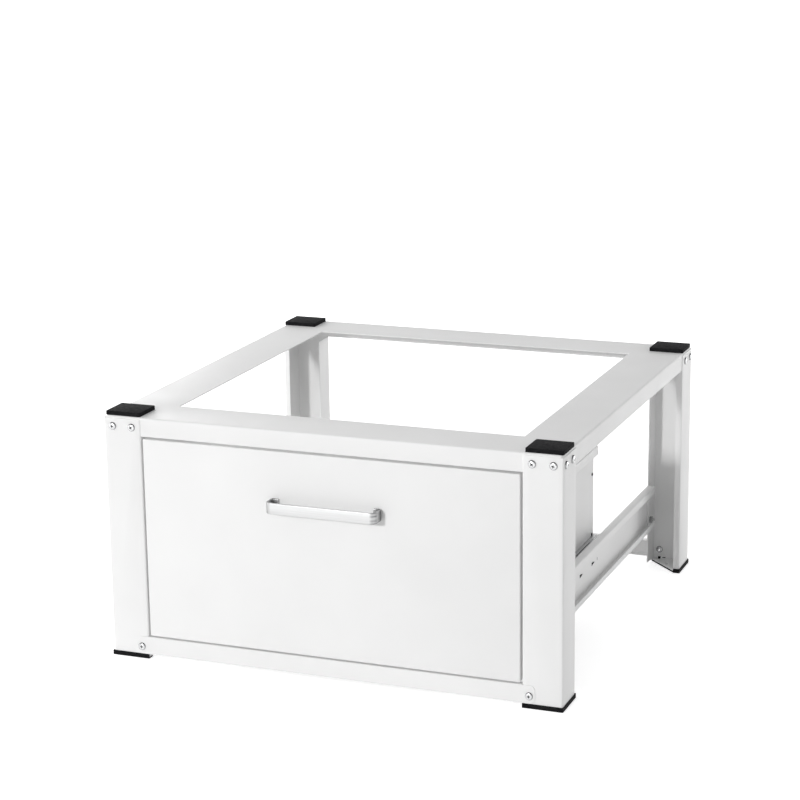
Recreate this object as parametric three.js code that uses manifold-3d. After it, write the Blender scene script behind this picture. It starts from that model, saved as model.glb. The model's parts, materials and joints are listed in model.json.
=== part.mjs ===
// Washer pedestal with a drawer: a sheet-steel stand 28 x 28 x 15 inches. A welded top frame is screwed to
// four folded legs, which are tied by a rail at the front, a crossbar at the rear and a channel along each
// side. The drawer rolls out to the front on two telescopic slides fixed to the side channels.
// Millimetres. +Z up, the drawer opens towards -Y, X to the right. Mirrored pieces are made once, at +X, -Y.

import * as THREE from 'three';
import { mergeVertices } from 'three/addons/utils/BufferGeometryUtils.js';
import Module from 'manifold-3d';

const wasm = await Module();
wasm.setup();

// ---------------------------------------------------------------------------------------------------------
// Driving dimensions
// ---------------------------------------------------------------------------------------------------------

// Stand
const WIDTH = 711;              // over the legs, left to right
const DEPTH = 711;              // over the legs, front to back
const HEIGHT = 381;             // floor to the top of the pads
const SHEET = 1.5;              // steel of the stand
const BEND = 1.2;               // inside radius of its folds

// Top frame
const FRAME_RAIL = 82;          // width of the flat top
const FRAME_FLANGE = 28;        // outer flange, turned down
const FRAME_EDGE = 3;           // outside radius along the top edge
const FRAME_CORNER = 5;         // outside radius of the upright corners

// Legs and feet
const LEG_WEB = 60;             // each of the two outer faces
const LEG_JAMB = 43;            // inner flange along the drawer bay
const LEG_LIP = 10;             // lip on the side web
const LEG_PLATE_JAMB = 10;      // how far the bottom plate follows the inner flange
const LEG_JAMB_CUT = 20;        // slope at the bottom of the inner flange, past the plate
const LEG_RELIEF = 0.5;         // space between the frame's flange and the leg's inner folds
const FOOT_BASE = 2.4;          // rubber under the leg
const FOOT_HEIGHT = 7.2;        // its rim round the outside of the leg
const FOOT_PROUD = 1.2;         // thickness of the rim
const LEG_CUTS = [              // from the drawer bay, from the front, and up from the leg's bottom
  { across: [8.5, 13.3], back: [-1, 6.2], up: [-1, 4.2] },
  { across: [16, 21.7], back: [-1, SHEET + 0.2], up: [1.7, 3.4] },
  { across: [28.4, 32.6], back: [26.3, 29.3], up: [-1, SHEET + 1] },
];

// Anti-slip pads
const PAD_LENGTH = 56;          // left to right
const PAD_WIDTH = 51;           // front to back
const PAD_THICK = 6;
const PAD_SIDE_INSET = 1.3;     // in from the stand's side
const PAD_END_INSET = 4.5;      // in from the stand's front or back

// Front rail and rear crossbar
const CROSS_HEIGHT = 27.5;
const CROSS_FLANGE = 10;        // top and bottom flanges, turned in
const CROSS_LAP = 19.5;         // how far each end laps over the leg
const CROSS_CORNER = 8;         // radius of the rounded ends
const CROSS_LIFT = 0.3;         // above the top of the feet
const CROSS_SCREW_IN = 8.5;     // from each end
const CROSS_SCREW_UP = 11.5;    // above the bottom edge

// Side rails: lipped channels, open to the outside
const RAIL_BOTTOM = 70;         // above the floor
const RAIL_HEIGHT = 72;
const RAIL_DEPTH = 14;
const RAIL_TOP_LIP = 12;
const RAIL_BOTTOM_LIP = 10;
const RAIL_TAB = 22;            // web carried on behind the leg's inner flange
const RAIL_END_GAP = 0.4;       // flange ends to the leg's inner flange
const RAIL_PUNCHES = [-71, -8]; // three-cornered holes, along the rail from its middle
const PUNCH_LENGTH = 7;
const PUNCH_HEIGHT = 6;
const RAIL_SLOT_AT = 17;        // a short upright slot, along the rail from its middle
const RAIL_SLOT_WIDTH = 2;
const RAIL_SLOT_HEIGHT = 5;
const RAIL_SCREW_UP = 9.4;      // above the rail's bottom
const RAIL_SCREW_IN = 31;       // in from the leg's front or back face

// Screws
const SCREW_R = 3;
const SCREW_HEAD_R = 5.75;
const SCREW_HEAD = 3.2;
const SCREW_TIP = 4.5;          // shank past the sheets that it holds
const SCREW_SHORT = 0.3;        // flush screws end this far inside their sheets
const RECESS_SPAN = 6;          // cross recess
const RECESS_WIDTH = 1.3;
const RECESS_DEPTH = 1.6;
const SCREW_SIDES = 10;
const HOLE_GAP = 0.35;          // hole radius less shank radius
const SCREW_DROP = 15.2;        // below the top of the frame
const SCREW_PITCH = 31;
const SCREW_FRONT_INSET = 14.5; // outer screw on the front and back faces
const SCREW_SIDE_INSET = 11.3;  // outer screw on the side faces

// Telescopic slides
const SLIDE_WIDTH = 19;         // room between side rail and drawer
const SLIDE_HEIGHT = 53;
const SLIDE_LENGTH = 399;
const SLIDE_UP = 33.5;          // its middle above the side rail's bottom
const SLIDE_GAUGE = 1.6;
const SLIDE_BEND = 0.6;         // inside radius of its folds
const SLIDE_SETBACK = 1;        // front end behind the back of the drawer's front panel
const SLIDE_RUNNING_GAP = 0.3;
const SLIDE_FLANGE = 14.4;      // reach of the rail member's flanges
const SLIDE_BALL = 4;           // ball rows, shown as the middle member's tracks

// Drawer
const DRAWER_SHEET = 1.2;
const RIM_BEND = 0.2;           // inside radius of the folds of its sides
const WALL_BEND = 0.6;          // and of its end walls
const DRAWER_SIDE_GAP = 3;      // front panel to the legs
const DRAWER_TOP_GAP = 3.5;
const DRAWER_BOTTOM_GAP = 2;
const FRONT_PAN = 18;           // depth of the front panel
const FRONT_RETURN = 22;        // its flange at the back
const BOX_FLOOR = 60;           // top of the side's bottom flange, above the floor
const BOX_HEIGHT = 215;         // from there to the rim
const RIM_WIDTH = 7.5;          // rim turned out along the sides
const RIM_LIP = 14;
const SIDE_FLANGE = 14;         // turned in under the drawer's floor
const WALL_RETURN = 14;         // end walls, turned along the sides
const WALL_DROP = 0.5;          // end walls' top below the rim
const FLOOR_GAP = 0.3;          // floor to the sides

// Handle
const HANDLE_CENTRES = 160;     // between its screws
const HANDLE_HEIGHT = 17;
const HANDLE_REACH = 26;        // out from the drawer front
const HANDLE_STRIP = 3.6;
const HANDLE_BEND = 6;          // inside radius of the two front bends
const HANDLE_FOOT_BEND = 1;
const HANDLE_FOOT = 12;         // foot, along the handle
const HANDLE_BELOW_TOP = 78.5;  // its centre below the drawer front's top edge
const HANDLE_SCREW_R = 2;
const HANDLE_SCREW_HEAD_R = 4;
const HANDLE_SCREW_HEAD = 2.4;

// Finishes
const whitePaint = new THREE.MeshStandardMaterial({ color: 0xf2f2f1, roughness: 0.42, metalness: 0 });
const rubber = new THREE.MeshStandardMaterial({ color: 0x2c2c2d, roughness: 0.8, metalness: 0 });
const zinc = new THREE.MeshStandardMaterial({ color: 0xb9bcbf, roughness: 0.3, metalness: 1 });
const brushed = new THREE.MeshStandardMaterial({ color: 0xd6d7d8, roughness: 0.35, metalness: 1 });

// ---------------------------------------------------------------------------------------------------------
// Places worked out from them
// ---------------------------------------------------------------------------------------------------------

const halfW = WIDTH / 2;
const halfD = DEPTH / 2;
const frameTop = HEIGHT - PAD_THICK;
const flangeBottom = frameTop - FRAME_FLANGE;
const legTop = frameTop - FRAME_EDGE;
const jambX = halfW - LEG_WEB;                  // face of the legs along the drawer bay
const jambEnd = halfD - LEG_JAMB;               // free edge of a leg's inner flange, from the middle
const crossBottom = FOOT_HEIGHT + CROSS_LIFT;
const crossTop = crossBottom + CROSS_HEIGHT;
const railWebX = jambX - SHEET;                 // face of the side rail's web towards the drawer
const railTop = RAIL_BOTTOM + RAIL_HEIGHT;
const punchZ = RAIL_BOTTOM + RAIL_HEIGHT / 2;
const slideZ = RAIL_BOTTOM + SLIDE_UP;
const boxX = railWebX - SLIDE_WIDTH;            // outside of the drawer's sides
const boxInnerX = boxX - DRAWER_SHEET;
const panFront = -halfD;
const panBack = panFront + FRONT_PAN;
const panHalf = jambX - DRAWER_SIDE_GAP;
const panTop = flangeBottom - DRAWER_TOP_GAP;
const panBottom = crossTop + DRAWER_BOTTOM_GAP;
const rimTop = BOX_FLOOR + BOX_HEIGHT;
const slideFront = panBack + SLIDE_SETBACK;
const slideBack = slideFront + SLIDE_LENGTH;
const boxBack = slideBack;
const handleZ = panTop - HANDLE_BELOW_TOP;
const screwZ = frameTop - SCREW_DROP;

// ---------------------------------------------------------------------------------------------------------
// Helpers
// ---------------------------------------------------------------------------------------------------------

/** A closed geometry as a solid for joining and cutting. */
function solid(geometry) {
  const bare = geometry.clone();
  bare.deleteAttribute('normal');
  bare.deleteAttribute('uv');
  const merged = mergeVertices(bare, 1e-4);
  const vertProperties = new Float32Array(merged.attributes.position.array);
  const triVerts = new Uint32Array(merged.index.array);
  return new wasm.Manifold(new wasm.Mesh({ numProp: 3, vertProperties, triVerts }));
}

/** A solid back as a geometry. */
function geometryOf(body) {
  const { vertProperties, triVerts } = body.getMesh();
  const geometry = new THREE.BufferGeometry();
  geometry.setAttribute('position', new THREE.BufferAttribute(new Float32Array(vertProperties), 3));
  geometry.setIndex(new THREE.BufferAttribute(new Uint32Array(triVerts), 1));
  return geometry;
}

/** A box between two corners. */
function block([x0, y0, z0], [x1, y1, z1]) {
  const geometry = new THREE.BoxGeometry(x1 - x0, y1 - y0, z1 - z0);
  geometry.translate((x0 + x1) / 2, (y0 + y1) / 2, (z0 + z1) / 2);
  return solid(geometry);
}

/** A round bar centred on a point, along X or Y, to cut a hole with. */
function bar(axis, [x, y, z], radius, length) {
  const geometry = new THREE.CylinderGeometry(radius, radius, length, SCREW_SIDES);
  if (axis === 'x') geometry.rotateZ(Math.PI / 2);
  geometry.translate(x, y, z);
  return solid(geometry);
}

/** An outline drawn in X and Y, carried up from z0 to z1. */
function upright(shape, z0, z1) {
  const depth = z1 - z0;
  const geometry = new THREE.ExtrudeGeometry(shape, { depth, bevelEnabled: false, curveSegments: 6 });
  geometry.translate(0, 0, z0);
  return solid(geometry);
}

/** An outline drawn in X and Z, carried along Y from y0 to y1. */
function lengthwise(shape, y0, y1) {
  const depth = y1 - y0;
  const geometry = new THREE.ExtrudeGeometry(shape, { depth, bevelEnabled: false, curveSegments: 6 });
  geometry.rotateX(Math.PI / 2);
  geometry.translate(0, y1, 0);
  return solid(geometry);
}

function polygon(points) {
  return new THREE.Shape(points.map(([x, y]) => new THREE.Vector2(x, y)));
}

function rectangle(x0, y0, x1, y1) {
  return polygon([[x0, y0], [x1, y0], [x1, y1], [x0, y1]]);
}

/** A rectangle with its four corners rounded. */
function roundedRectangle(x0, y0, x1, y1, r) {
  const shape = new THREE.Shape();
  shape.moveTo(x0 + r, y0);
  shape.lineTo(x1 - r, y0);
  shape.absarc(x1 - r, y0 + r, r, -Math.PI / 2, 0);
  shape.lineTo(x1, y1 - r);
  shape.absarc(x1 - r, y1 - r, r, 0, Math.PI / 2);
  shape.lineTo(x0 + r, y1);
  shape.absarc(x0 + r, y1 - r, r, Math.PI / 2, Math.PI);
  shape.lineTo(x0, y0 + r);
  shape.absarc(x0 + r, y0 + r, r, Math.PI, 1.5 * Math.PI);
  return shape;
}

/** The corner at b between a and c, rounded with a few points. */
function roundedCorner(a, b, c, radius, steps = 3) {
  const toA = a.clone().sub(b).normalize();
  const toC = c.clone().sub(b).normalize();
  const half = Math.acos(THREE.MathUtils.clamp(toA.dot(toC), -1, 1)) / 2;
  const reach = radius / Math.tan(half);
  const centre = toA.clone().add(toC).normalize().multiplyScalar(radius / Math.sin(half)).add(b);
  const from = toA.multiplyScalar(reach).add(b).sub(centre);
  const sweep = Math.PI - 2 * half;
  const turn = Math.sign(b.clone().sub(a).cross(c.clone().sub(b)));
  return Array.from({ length: steps + 1 }, (_, i) =>
    from.clone().rotateAround(new THREE.Vector2(), turn * sweep * i / steps).add(centre));
}

/** Folded sheet seen from its end: a line along one face, the sheet to its left. Bends may differ. */
function foldedSheet(points, gauge, bend) {
  const bends = Array.isArray(bend) ? bend : points.slice(2).map(() => bend);
  const face = points.map(([x, y]) => new THREE.Vector2(x, y));
  const left = (a, b) => new THREE.Vector2(a.y - b.y, b.x - a.x).normalize();
  const other = face.map((p, i) => {
    const before = i > 0 ? left(face[i - 1], p) : left(p, face[i + 1]);
    const after = i < face.length - 1 ? left(p, face[i + 1]) : before;
    const mid = before.clone().add(after).normalize();
    return mid.multiplyScalar(gauge / mid.dot(before)).add(p);
  });
  const side = (line, tightTurn) => line.flatMap((p, i) => {
    if (i === 0 || i === line.length - 1) return [p];
    const turn = Math.sign(p.clone().sub(line[i - 1]).cross(line[i + 1].clone().sub(p)));
    const radius = turn === tightTurn ? bends[i - 1] : bends[i - 1] + gauge;
    return roundedCorner(line[i - 1], p, line[i + 1], radius);
  });
  return new THREE.Shape([...side(face, -1), ...side(other, 1).reverse()]);
}

/** A geometry made at +X, -Y, turned over to the quarter given by two signs. */
function inQuarter(geometry, signX, signY) {
  const copy = geometry.clone();
  copy.scale(signX, signY, 1);
  if (signX * signY < 0) {
    const order = copy.index.array;
    for (let i = 0; i < order.length; i += 3) [order[i], order[i + 1]] = [order[i + 1], order[i]];
  }
  return copy;
}

const stand = new THREE.Group();
const drawer = new THREE.Group();

/** Puts a solid or a geometry into a group under its name. */
function add(group, name, shape, material) {
  const geometry = shape.isBufferGeometry ? shape : geometryOf(shape);
  geometry.computeVertexNormals();
  const mesh = new THREE.Mesh(geometry, material.clone());
  mesh.name = name;
  group.add(mesh);
  return mesh;
}

const sides = [['left', -1], ['right', 1]];
const ends = [['front', 1], ['rear', -1]];      // pieces are made at the front, so the rear is turned over

// ---------------------------------------------------------------------------------------------------------
// Stand
// ---------------------------------------------------------------------------------------------------------

/** A block with rounded upright corners and a rounded top edge. */
function softBlock(halfX, halfY, z0, z1, corner, edge) {
  const shape = roundedRectangle(-halfX + edge, -halfY + edge, halfX - edge, halfY - edge, corner - edge);
  const depth = z1 - z0;
  const bevel = { bevelEnabled: true, bevelSize: edge, bevelThickness: edge, bevelSegments: 3 };
  const geometry = new THREE.ExtrudeGeometry(shape, { depth, curveSegments: 3, ...bevel });
  geometry.translate(0, 0, z0 - edge);
  return solid(geometry).subtract(block([-halfX - 1, -halfY - 1, z0 - 3 * edge], [halfX + 1, halfY + 1, z0]));
}

/** Screw centres at one leg corner, on its front face (x, z) and its side face (y, z). */
const cornerScrews = [0, SCREW_PITCH].map((step) => ({
  x: halfW - SCREW_FRONT_INSET - step,
  y: -halfD + SCREW_SIDE_INSET + step,
}));
const holeR = SCREW_R + HOLE_GAP;
const drill = 6 * SHEET;

/** The screw holes of one corner, through everything near the leg's two faces. */
function cornerHoles(signX, signY) {
  return cornerScrews.flatMap(({ x, y }) => [
    bar('y', [signX * x, -signY * halfD, screwZ], holeR, drill),
    bar('x', [signX * halfW, signY * y, screwZ], holeR, drill),
  ]);
}

function topFrame() {
  const outX = halfW - SHEET;
  const outY = halfD - SHEET;
  const inX = outX - FRAME_RAIL;
  const inY = outY - FRAME_RAIL;
  const under = FRAME_EDGE - SHEET;
  let ring = softBlock(outX, outY, flangeBottom, frameTop, FRAME_CORNER, FRAME_EDGE);
  ring = ring.subtract(
    softBlock(outX - SHEET, outY - SHEET, flangeBottom - 1, frameTop - SHEET, FRAME_CORNER - SHEET, under));
  ring = ring.subtract(upright(rectangle(-inX, -inY, inX, inY), flangeBottom, frameTop + 1));
  for (const [, signX] of sides) {
    for (const [, signY] of ends) {
      for (const hole of cornerHoles(signX, signY)) ring = ring.subtract(hole);
    }
  }
  return ring;
}

const crossScrewX = jambX + CROSS_LAP - CROSS_SCREW_IN;
const crossScrewZ = crossBottom + CROSS_SCREW_UP;
const railScrewZ = RAIL_BOTTOM + RAIL_SCREW_UP;
const railScrewY = halfD - RAIL_SCREW_IN;

/** A square cutter near a leg's bottom, through the plate, the web or the fold between them. */
function legCut({ across, back, up }) {
  return block(
    [jambX + across[0], -halfD + back[0], FOOT_BASE + up[0]],
    [jambX + across[1], -halfD + back[1], FOOT_BASE + up[1]]);
}

/** The inner flange is cut off level with the foot's rim, and slopes down to the bottom plate. */
function jambCut() {
  const plateEnd = -halfD + LEG_PLATE_JAMB;
  const side = polygon([
    [plateEnd, FOOT_BASE - 1],
    [plateEnd, FOOT_BASE],
    [plateEnd + LEG_JAMB_CUT, FOOT_HEIGHT],
    [-jambEnd + 1, FOOT_HEIGHT],
    [-jambEnd + 1, FOOT_BASE - 1],
  ]);
  const cutter = new THREE.ExtrudeGeometry(side, { depth: SHEET + 1, bevelEnabled: false });
  cutter.rotateX(Math.PI / 2);
  cutter.rotateZ(Math.PI / 2);
  cutter.translate(jambX - 1, 0, 0);
  return solid(cutter);
}

function leg() {
  const outline = foldedSheet([
    [jambX, -jambEnd],
    [jambX, -halfD],
    [halfW, -halfD],
    [halfW, -halfD + LEG_WEB],
    [halfW - LEG_LIP, -halfD + LEG_WEB],
  ], SHEET, BEND);
  let body = upright(outline, FOOT_BASE, legTop).subtract(jambCut());
  const inner = SHEET / 2;
  const plate = polygon([
    [jambX + inner, -halfD + inner],
    [halfW - inner, -halfD + inner],
    [halfW - inner, -halfD + LEG_WEB - inner],
    [halfW - LEG_LIP + inner, -halfD + LEG_WEB - inner],
    [jambX + inner, -halfD + LEG_PLATE_JAMB],
  ]);
  const plateRound = BEND + SHEET;
  body = body.add(upright(plate, FOOT_BASE, FOOT_BASE + SHEET).intersect(
    upright(roundedRectangle(jambX, -halfD, halfW, -halfD + 2 * LEG_WEB, plateRound), 0, frameTop)));
  body = body.subtract(block(
    [jambX - 1, -halfD + SHEET, flangeBottom - LEG_RELIEF], [halfW - SHEET, -halfD + 2 * LEG_WEB, HEIGHT]));
  for (const cut of LEG_CUTS) body = body.subtract(legCut(cut));
  for (const hole of cornerHoles(1, 1)) body = body.subtract(hole);
  body = body.subtract(bar('y', [crossScrewX, -halfD, crossScrewZ], holeR, drill));
  return body.subtract(bar('x', [jambX, -railScrewY, railScrewZ], holeR, drill));
}

/** Rubber foot: a flat base under the leg's plate and a rim round its outer faces and its lip. */
function foot() {
  const outX = halfW + FOOT_PROUD;
  const outY = -halfD - FOOT_PROUD;
  const legEnd = -halfD + LEG_WEB;
  const body = upright(polygon([
    [jambX, outY],
    [outX, outY],
    [outX, legEnd + FOOT_PROUD],
    [halfW - LEG_LIP, legEnd + FOOT_PROUD],
    [halfW - LEG_LIP, legEnd],
    [jambX, -halfD + LEG_PLATE_JAMB],
  ]), 0, FOOT_HEIGHT);
  const inside = roundedRectangle(jambX - LEG_WEB, -halfD, halfW, legEnd, BEND);
  const open = block(
    [jambX - LEG_WEB, -halfD + BEND, FOOT_BASE], [halfW - LEG_LIP, -halfD + 2 * LEG_WEB, HEIGHT]);
  return body.subtract(upright(inside, FOOT_BASE, HEIGHT)).subtract(open);
}

function pad() {
  const outX = halfW - PAD_SIDE_INSET;
  const outY = -halfD + PAD_END_INSET;
  return block([outX - PAD_LENGTH, outY, frameTop], [outX, outY + PAD_WIDTH, HEIGHT]);
}

/** Front rail: a strip on the legs' faces, with its two flanges turned in between them. */
function crossRail() {
  const reach = jambX + CROSS_LAP;
  const face = roundedRectangle(-reach, crossBottom, reach, crossTop, CROSS_CORNER);
  let body = lengthwise(face, -halfD - SHEET, -halfD);
  const inside = jambX - LEG_RELIEF;
  for (const z of [crossBottom, crossTop - SHEET]) {
    body = body.add(block([-inside, -halfD - SHEET / 2, z], [inside, -halfD + CROSS_FLANGE, z + SHEET]));
  }
  for (const [, signX] of sides) {
    body = body.subtract(bar('y', [signX * crossScrewX, -halfD, crossScrewZ], holeR, drill));
  }
  return body;
}

/** Side rail: its web lies on the inside of the legs' inner flanges, its own flanges stop between them. */
function sideRail() {
  const outer = railWebX + RAIL_DEPTH;
  const section = foldedSheet([
    [outer, railTop - RAIL_TOP_LIP],
    [outer, railTop],
    [railWebX, railTop],
    [railWebX, RAIL_BOTTOM],
    [outer, RAIL_BOTTOM],
    [outer, RAIL_BOTTOM + RAIL_BOTTOM_LIP],
  ], SHEET, BEND);
  const tabEnd = jambEnd + RAIL_TAB;
  let body = lengthwise(section, -tabEnd, tabEnd);
  for (const [y0, y1] of [[-tabEnd - 1, -jambEnd + RAIL_END_GAP], [jambEnd - RAIL_END_GAP, tabEnd + 1]]) {
    body = body.subtract(block([jambX, y0, RAIL_BOTTOM - 1], [outer + 1, y1, railTop + 1]));
  }
  for (const y of [-railScrewY, railScrewY]) {
    body = body.subtract(bar('x', [jambX, y, railScrewZ], holeR, drill));
  }
  for (const y of RAIL_PUNCHES) {
    const triangle = polygon([[0, -PUNCH_HEIGHT / 2], [PUNCH_LENGTH, 0], [0, PUNCH_HEIGHT / 2]]);
    const cutter = new THREE.ExtrudeGeometry(triangle, { depth: drill, bevelEnabled: false });
    cutter.rotateX(Math.PI / 2);
    cutter.rotateZ(Math.PI / 2);
    cutter.translate(railWebX - drill / 2, y, punchZ);
    body = body.subtract(solid(cutter));
  }
  return body.subtract(block(
    [railWebX - 1, RAIL_SLOT_AT - RAIL_SLOT_WIDTH / 2, punchZ - RAIL_SLOT_HEIGHT / 2],
    [jambX + 1, RAIL_SLOT_AT + RAIL_SLOT_WIDTH / 2, punchZ + RAIL_SLOT_HEIGHT / 2]));
}

add(stand, 'top_frame', topFrame(), whitePaint);
const legGeometry = geometryOf(leg());
const footGeometry = geometryOf(foot());
const padGeometry = geometryOf(pad());
for (const [endName, signY] of ends) {
  for (const [sideName, signX] of sides) {
    const where = `${endName}_${sideName}`;
    add(stand, `leg_${where}`, inQuarter(legGeometry, signX, signY), whitePaint);
    add(stand, `foot_${where}`, inQuarter(footGeometry, signX, signY), rubber);
    add(stand, `pad_${where}`, inQuarter(padGeometry, signX, signY), rubber);
  }
}
const crossGeometry = geometryOf(crossRail());
add(stand, 'front_lower_rail', crossGeometry, whitePaint);
add(stand, 'rear_crossbar', inQuarter(crossGeometry, 1, -1), whitePaint);
const railGeometry = geometryOf(sideRail());
for (const [sideName, signX] of sides) {
  add(stand, `side_rail_${sideName}`, inQuarter(railGeometry, signX, 1), whitePaint);
}

// ---------------------------------------------------------------------------------------------------------
// Screws
// ---------------------------------------------------------------------------------------------------------

/** A screw along Z: shank down to -length, underside of the head at 0, domed head above. */
function screw(shankR, headR, headHeight, length) {
  const dome = [[1, 0.3], [0.86, 0.72], [0.5, 1]];
  const profile = [[0, -length], [shankR, -length], [shankR, 0], [headR, 0],
    ...dome.map(([r, h]) => [r * headR, h * headHeight]), [0, headHeight]];
  const lathe = new THREE.LatheGeometry(profile.map(([r, z]) => new THREE.Vector2(r, z)), SCREW_SIDES);
  lathe.rotateX(Math.PI / 2);
  return solid(lathe);
}

/** The stand's screws, with a cross recess. */
function standScrew(grip) {
  const long = RECESS_SPAN / 2;
  const short = RECESS_WIDTH / 2;
  const floor = SCREW_HEAD - RECESS_DEPTH;
  const above = SCREW_HEAD + 1;
  return geometryOf(screw(SCREW_R, SCREW_HEAD_R, SCREW_HEAD, grip)
    .subtract(block([-long, -short, floor], [long, short, above]))
    .subtract(block([-short, -long, floor], [short, long, above])));
}

const twoSheets = standScrew(2 * SHEET + SCREW_TIP);
const flushScrew = standScrew(2 * SHEET - SCREW_SHORT);
const towards = {
  front: [Math.PI / 2, 0, 0],
  rear: [-Math.PI / 2, 0, 0],
  left: [0, -Math.PI / 2, 0],
  right: [0, Math.PI / 2, 0],
};

function placeScrew(group, name, geometry, facing, [x, y, z]) {
  const mesh = add(group, name, geometry.clone(), zinc);
  mesh.rotation.set(...towards[facing]);
  mesh.position.set(x, y, z);
}

for (const [endName, signY] of ends) {
  for (const [sideName, signX] of sides) {
    const where = `${endName}_${sideName}`;
    cornerScrews.forEach(({ x, y }, i) => {
      const which = ['outer', 'inner'][i];
      const onFace = [signX * x, -signY * halfD, screwZ];
      const onSide = [signX * halfW, signY * y, screwZ];
      placeScrew(stand, `screw_${where}_face_${which}`, twoSheets, endName, onFace);
      placeScrew(stand, `screw_${where}_side_${which}`, twoSheets, sideName, onSide);
    });
    placeScrew(stand, `screw_${where}_cross`, twoSheets, endName,
      [signX * crossScrewX, -signY * (halfD + SHEET), crossScrewZ]);
    placeScrew(stand, `screw_${where}_rail`, flushScrew, sideName,
      [signX * (jambX + SHEET), -signY * railScrewY, railScrewZ]);
  }
}

// ---------------------------------------------------------------------------------------------------------
// Slides: three nested channels on each side, made at +X, each with its web upright
// ---------------------------------------------------------------------------------------------------------

const outerHalf = SLIDE_HEIGHT / 2;
const middleTrack = outerHalf - SLIDE_GAUGE - SLIDE_RUNNING_GAP;
const middleHalf = middleTrack - SLIDE_BALL;
const innerTrack = middleHalf - SLIDE_GAUGE - SLIDE_BALL;
const innerHalf = innerTrack - SLIDE_RUNNING_GAP;
const ballMid = railWebX - SLIDE_WIDTH / 2;

/** A plain channel from a web at x, its flanges reaching to xEnd. */
function channel(x, xEnd, half) {
  const inward = Math.sign(xEnd - x);
  const path = [[xEnd, slideZ + half], [x, slideZ + half], [x, slideZ - half], [xEnd, slideZ - half]];
  return foldedSheet(inward > 0 ? path : path.reverse(), SLIDE_GAUGE, SLIDE_BEND);
}

/** The rail's member, open towards the drawer. */
function slideOuter() {
  return lengthwise(channel(railWebX, railWebX - SLIDE_FLANGE, outerHalf), slideFront, slideBack);
}

/** The middle member: a channel with its ball rows as tracks above and below each flange. */
function slideMiddle() {
  const web = railWebX - SLIDE_GAUGE - SLIDE_RUNNING_GAP;
  let body = lengthwise(channel(web, web - SLIDE_FLANGE + SLIDE_GAUGE, middleHalf), slideFront, slideBack);
  const x0 = ballMid - SLIDE_BALL / 2;
  const x1 = ballMid + SLIDE_BALL / 2;
  for (const sign of [-1, 1]) {
    const low = Math.min(sign * middleTrack, sign * innerTrack);
    const high = Math.max(sign * middleTrack, sign * innerTrack);
    body = body.add(block([x0, slideFront, slideZ + low], [x1, slideBack, slideZ + high]));
  }
  return body;
}

/** The drawer's member, open towards the rail. */
function slideInner() {
  return lengthwise(channel(boxX, boxX + SLIDE_FLANGE - SLIDE_GAUGE, innerHalf), slideFront, slideBack);
}

const slideParts = {
  rail: geometryOf(slideOuter()),
  middle: geometryOf(slideMiddle()),
  drawer: geometryOf(slideInner()),
};
for (const [sideName, signX] of sides) {
  for (const [member, geometry] of Object.entries(slideParts)) {
    const group = member === 'drawer' ? drawer : stand;
    add(group, `slide_${sideName}_${member}_member`, inQuarter(geometry, signX, 1), zinc);
  }
}

// ---------------------------------------------------------------------------------------------------------
// Drawer
// ---------------------------------------------------------------------------------------------------------

/** Cutter for a screw hole of the handle, through its foot and the front panel. */
function handleHole(signX) {
  const length = 2 * (HANDLE_STRIP + DRAWER_SHEET);
  return bar('y', [signX * HANDLE_CENTRES / 2, panFront, handleZ], HANDLE_SCREW_R + HOLE_GAP, length);
}

/** Front panel: a pan open at the back, with a flange returned all round. */
function drawerFront() {
  const t = DRAWER_SHEET;
  let body = block([-panHalf, panFront, panBottom], [panHalf, panBack, panTop]);
  body = body.subtract(block(
    [-panHalf + t, panFront + t, panBottom + t],
    [panHalf - t, panBack - t, panTop - t]));
  body = body.subtract(block(
    [-panHalf + FRONT_RETURN, panBack - 2 * t, panBottom + FRONT_RETURN],
    [panHalf - FRONT_RETURN, panBack + 1, panTop - FRONT_RETURN]));
  return body.subtract(handleHole(-1)).subtract(handleHole(1));
}

/** Side of the drawer: rim and lip turned out at the top, flange turned in at the bottom. */
function drawerSide() {
  const section = foldedSheet([
    [boxX + RIM_WIDTH, rimTop - RIM_LIP],
    [boxX + RIM_WIDTH, rimTop],
    [boxInnerX, rimTop],
    [boxInnerX, BOX_FLOOR],
    [boxInnerX - SIDE_FLANGE, BOX_FLOOR],
  ], DRAWER_SHEET, RIM_BEND);
  return lengthwise(section, panBack, boxBack);
}

function drawerFloor() {
  const reach = boxInnerX - FLOOR_GAP;
  return block([-reach, panBack, BOX_FLOOR], [reach, boxBack, BOX_FLOOR + DRAWER_SHEET]);
}

/** End wall of the drawer, standing on its floor, its ends turned along the sides. */
function drawerWall(outside, inward) {
  const turned = outside + inward * WALL_RETURN;
  const path = [[-boxInnerX, turned], [-boxInnerX, outside], [boxInnerX, outside], [boxInnerX, turned]];
  const outline = foldedSheet(inward > 0 ? path : path.reverse(), DRAWER_SHEET, WALL_BEND);
  return upright(outline, BOX_FLOOR + DRAWER_SHEET, rimTop - DRAWER_SHEET - WALL_DROP);
}

/** Bow handle: one flat strip bent four times, its feet drilled for the screws. */
function handle() {
  const footOuter = HANDLE_CENTRES / 2 + HANDLE_FOOT / 2;
  const footInner = HANDLE_CENTRES / 2 - HANDLE_FOOT / 2;
  const outline = foldedSheet([
    [-footInner, panFront],
    [-footOuter, panFront],
    [-footOuter, panFront - HANDLE_REACH],
    [footOuter, panFront - HANDLE_REACH],
    [footOuter, panFront],
    [footInner, panFront],
  ], HANDLE_STRIP, [HANDLE_FOOT_BEND, HANDLE_BEND, HANDLE_BEND, HANDLE_FOOT_BEND]);
  const strip = upright(outline, handleZ - HANDLE_HEIGHT / 2, handleZ + HANDLE_HEIGHT / 2);
  return strip.subtract(handleHole(-1)).subtract(handleHole(1));
}

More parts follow.
